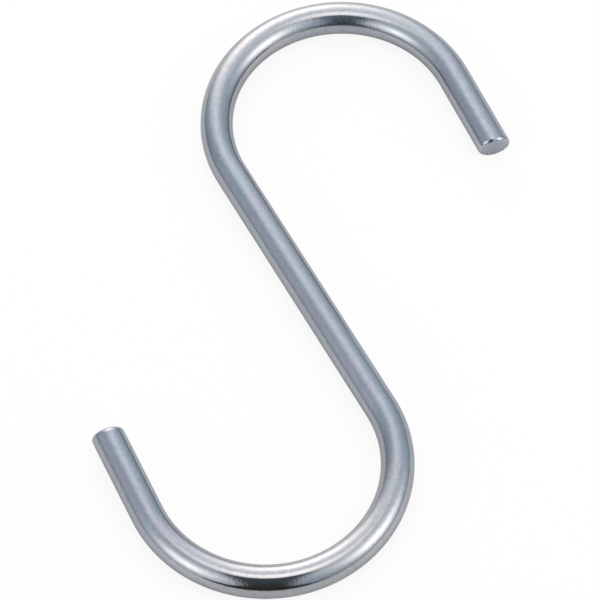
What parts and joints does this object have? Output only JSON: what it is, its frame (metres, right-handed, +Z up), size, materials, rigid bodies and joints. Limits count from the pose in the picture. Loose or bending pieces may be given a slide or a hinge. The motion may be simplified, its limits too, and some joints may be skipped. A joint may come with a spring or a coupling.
{
  "type": "s hook",
  "caption": "S-shaped hook bent from round steel wire, with a straight shank and a rounded hook at either end, opening to opposite sides.",
  "frame": {"origin": "middle of the straight shank, on the surface that the hook lies on", "axes": "+Y along the shank towards the upper hook, +X towards the side that the upper hook bends over to, +Z up from the surface"},
  "size_m": [0.082, 0.09, 0.005],
  "materials": {
    "plated_steel": "bright zinc plating over drawn steel wire, smooth and faintly blue, with duller cut ends"
  },
  "bodies": {
    "root": {"hook": "plated_steel"}
  },
  "joints": []
}
